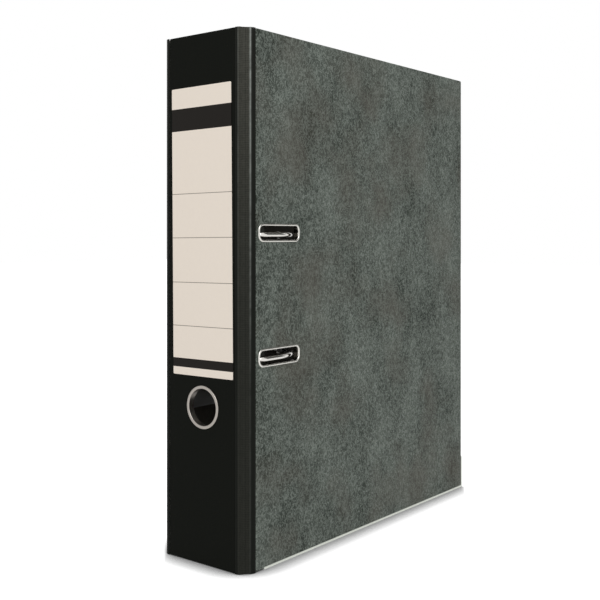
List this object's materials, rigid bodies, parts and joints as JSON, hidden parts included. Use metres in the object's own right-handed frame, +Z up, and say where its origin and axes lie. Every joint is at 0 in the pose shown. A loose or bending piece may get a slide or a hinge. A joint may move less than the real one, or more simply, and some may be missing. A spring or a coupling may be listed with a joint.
{
  "type": "lever arch file",
  "caption": "Upright lever arch file with a labelled spine, thumb ring, slotted front cover, metal edge rails and a working arch, lever and compressor inside.",
  "frame": {"origin": "centre of the bounding box on the surface the file stands on", "axes": "+Z up, along the spine's height; +X from the spine to the fore-edge; +Y from the front cover to the back cover"},
  "size_m": [0.2768, 0.0786, 0.345],
  "materials": {
    "grey_board": "matt, fibrous",
    "marbled_paper": "embossed, slight sheen",
    "lining_paper": "matt",
    "black_wrap": "bookcloth, slight sheen",
    "label_paper": "matt, printed",
    "rail_steel": "bright plated strip",
    "black_plastic": "moulded, satin",
    "plated_steel": "nickel plated, bright",
    "zinc_steel": "zinc plated sheet, satin"
  },
  "bodies": {
    "back_cover": {"back_cover_board": "grey_board", "back_cover_paper": "marbled_paper", "back_cover_lining": "lining_paper", "back_edge_rail": "rail_steel", "base_plate": "zinc_steel", "lower_post": "plated_steel", "upper_post": "plated_steel", "lever_bracket": "zinc_steel", "bracket_rivet_lower": "zinc_steel", "bracket_rivet_upper": "zinc_steel", "lever_pivot_pin": "zinc_steel", "axle_strap_lower": "zinc_steel", "axle_strap_upper": "zinc_steel", "mounting_rivet_low_inner": "zinc_steel", "mounting_rivet_low_outer": "zinc_steel", "mounting_rivet_high_inner": "zinc_steel", "mounting_rivet_high_outer": "zinc_steel"},
    "back_hinge": {"back_hinge_strip": "black_wrap"},
    "spine": {"spine_board": "grey_board", "spine_wrap": "black_wrap", "spine_lining": "lining_paper", "spine_label": "label_paper", "thumb_ring": "plated_steel", "thumb_ring_washer": "zinc_steel"},
    "front_hinge": {"front_hinge_strip": "black_wrap"},
    "front_cover": {"front_cover_board": "grey_board", "front_cover_paper": "marbled_paper", "front_cover_lining": "lining_paper", "front_edge_rail": "rail_steel", "slot_eyelet_lower": "plated_steel", "slot_eyelet_upper": "plated_steel", "slot_washer_lower": "zinc_steel", "slot_washer_upper": "zinc_steel"},
    "arch": {"arch_wire": "plated_steel"},
    "lever": {"lever": "zinc_steel", "lever_grip": "black_plastic", "roller_pin": "zinc_steel"},
    "roller": {"roller": "black_plastic"},
    "compressor": {"compressor_bar": "black_plastic"}
  },
  "joints": [
    {"name": "back_crease", "type": "hinge", "parent": "back_cover", "child": "back_hinge", "pos_m": [-0.12948, 0.0371, 0.1725], "axis": [0, 0, -1], "range_deg": [0, 40.97]},
    {"name": "spine_crease", "type": "hinge", "parent": "back_hinge", "child": "spine", "pos_m": [-0.1362, 0.03126, 0.1725], "axis": [0, 0, -1], "range_deg": [0, 49.08]},
    {"name": "front_crease", "type": "hinge", "parent": "spine", "child": "front_hinge", "pos_m": [-0.1362, -0.03126, 0.1725], "axis": [0, 0, -1], "range_deg": [0, 92.61]},
    {"name": "cover_crease", "type": "hinge", "parent": "front_hinge", "child": "front_cover", "pos_m": [-0.12948, -0.0371, 0.1725], "axis": [0, 0, -1], "range_deg": [0, 77.44]},
    {"name": "arch_turn", "type": "hinge", "parent": "back_cover", "child": "arch", "pos_m": [-0.1136, 0.0297, 0.174], "axis": [0, 0, -1], "range_deg": [0, 60.05]},
    {"name": "lever_turn", "type": "hinge", "parent": "back_cover", "child": "lever", "pos_m": [-0.0976, 0.0107, 0.174], "axis": [0, 0, 1], "range_deg": [0, 60.05]},
    {"name": "roller_turn", "type": "hinge", "parent": "lever", "child": "roller", "pos_m": [-0.10205, 0.02292, 0.174], "axis": [0, 0, 1], "continuous": true},
    {"name": "compressor_slide", "type": "slide", "parent": "back_cover", "child": "compressor", "axis": [0, -1, 0], "range_m": [0, 0.036]}
  ],
  "couplings": [
    {"joint": "spine_crease", "follows": "back_crease", "ratio": 1.1966},
    {"joint": "cover_crease", "follows": "front_crease", "ratio": 0.8357},
    {"joint": "arch_turn", "follows": "back_crease", "ratio": 1.4644},
    {"joint": "lever_turn", "follows": "back_crease", "ratio": 1.4644}
  ]
}
